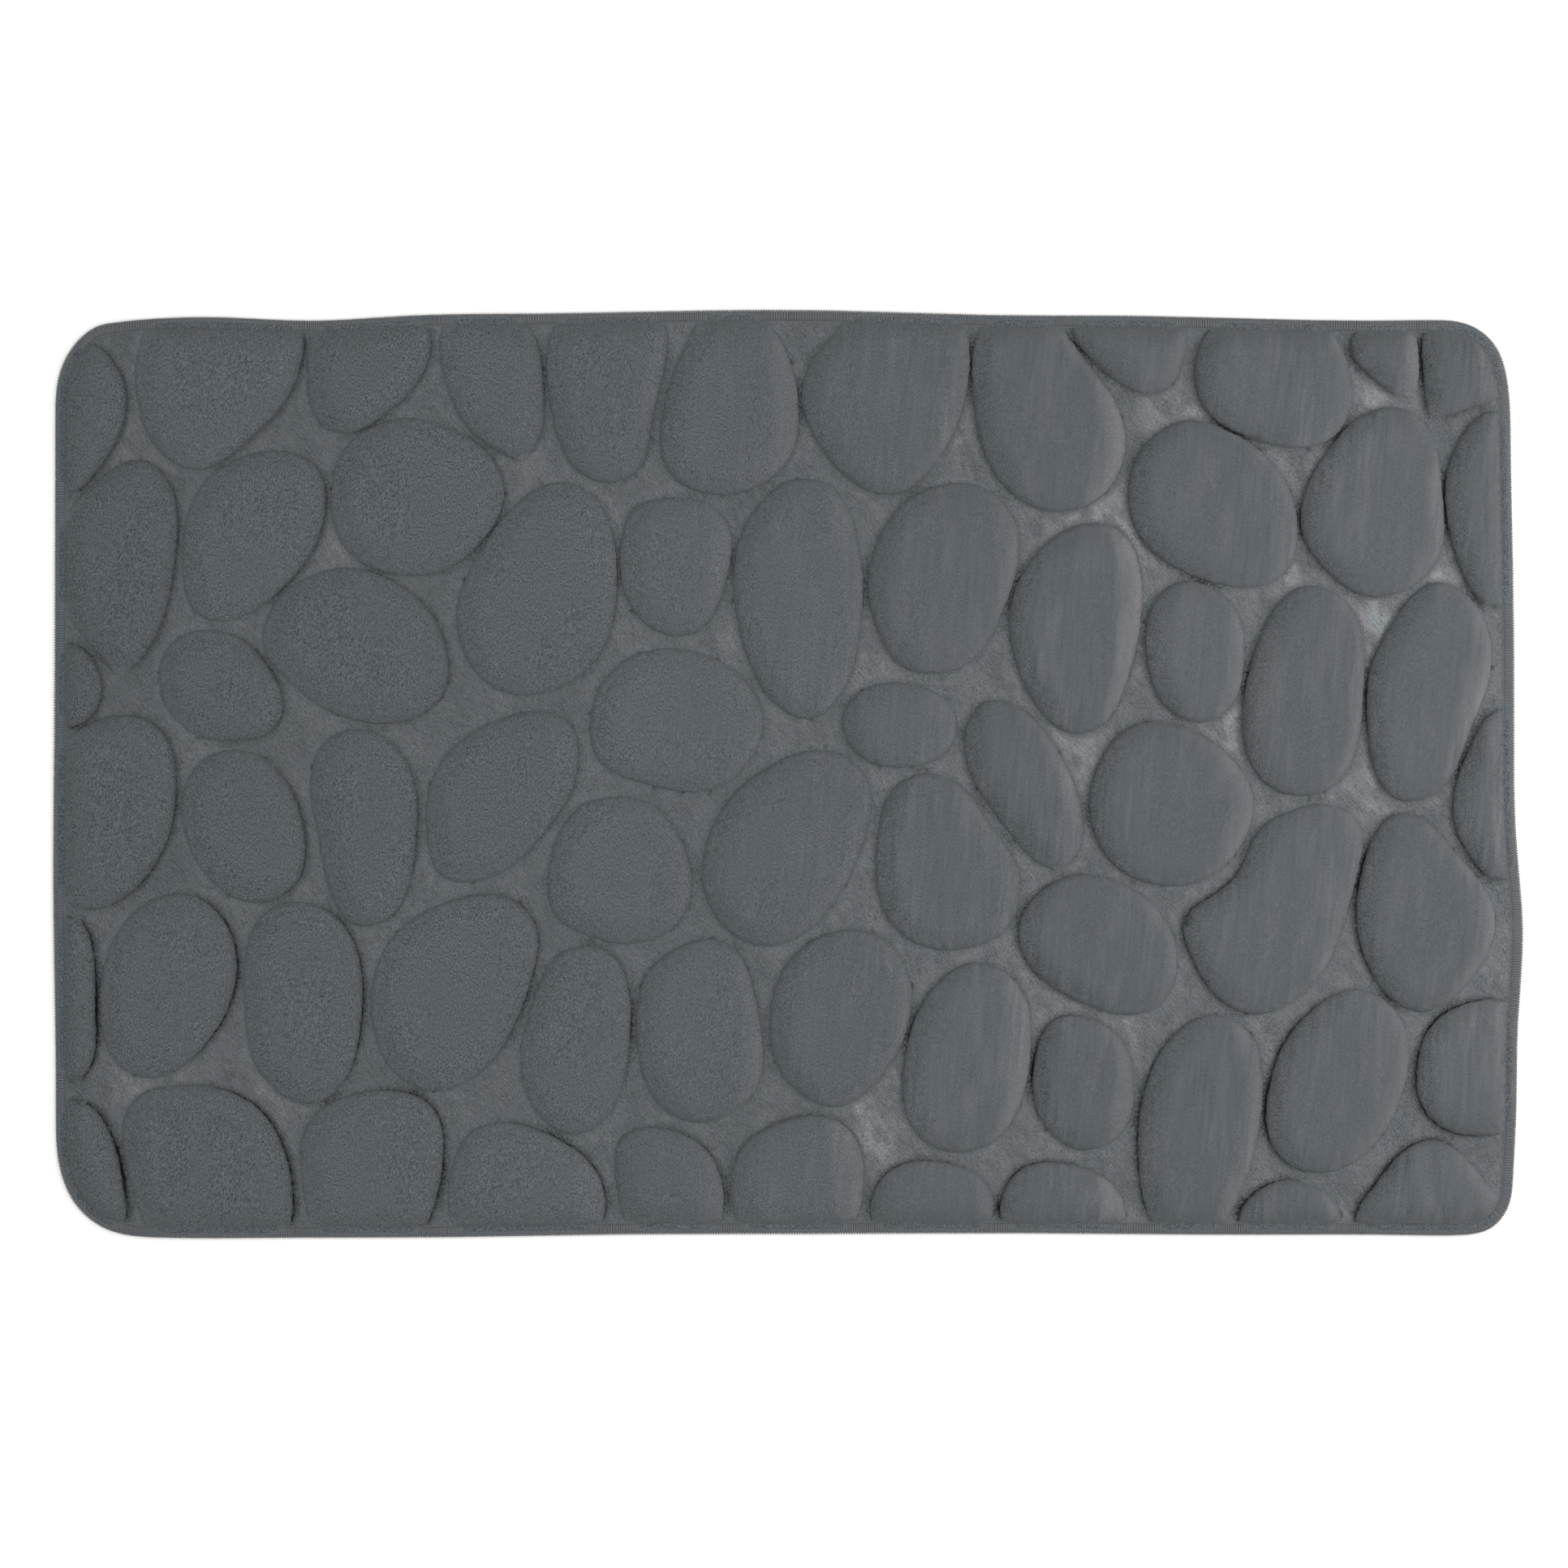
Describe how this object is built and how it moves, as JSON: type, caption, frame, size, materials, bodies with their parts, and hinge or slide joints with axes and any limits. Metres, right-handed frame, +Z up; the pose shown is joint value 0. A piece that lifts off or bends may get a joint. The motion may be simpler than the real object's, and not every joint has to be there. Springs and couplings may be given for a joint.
{
  "type": "bath mat",
  "caption": "Rectangular memory-foam bath mat with rounded corners, a plush top embossed with raised pebble shapes, an overlocked edge and a grip-coated back.",
  "frame": {"origin": "on the floor, under the middle of the mat's bounding box", "axes": "+X along the mat's length, +Y across its width towards the upper edge, +Z up out of the pile"},
  "size_m": [0.8156, 0.5152, 0.016],
  "materials": {
    "grip_coating": "matt dotted latex",
    "backing_cloth": "plain knit",
    "foam": "open-cell foam",
    "pile": "short brushed pile",
    "overlock_thread": "spun polyester thread",
    "label_satin": "blank satin"
  },
  "bodies": {
    "root": {"grip_coating": "grip_coating", "backing_cloth": "backing_cloth", "foam_core": "foam", "pile_cover": "pile", "lower_looper_thread": "overlock_thread", "upper_looper_thread": "overlock_thread", "needle_thread": "overlock_thread", "care_label": "label_satin"}
  },
  "joints": []
}
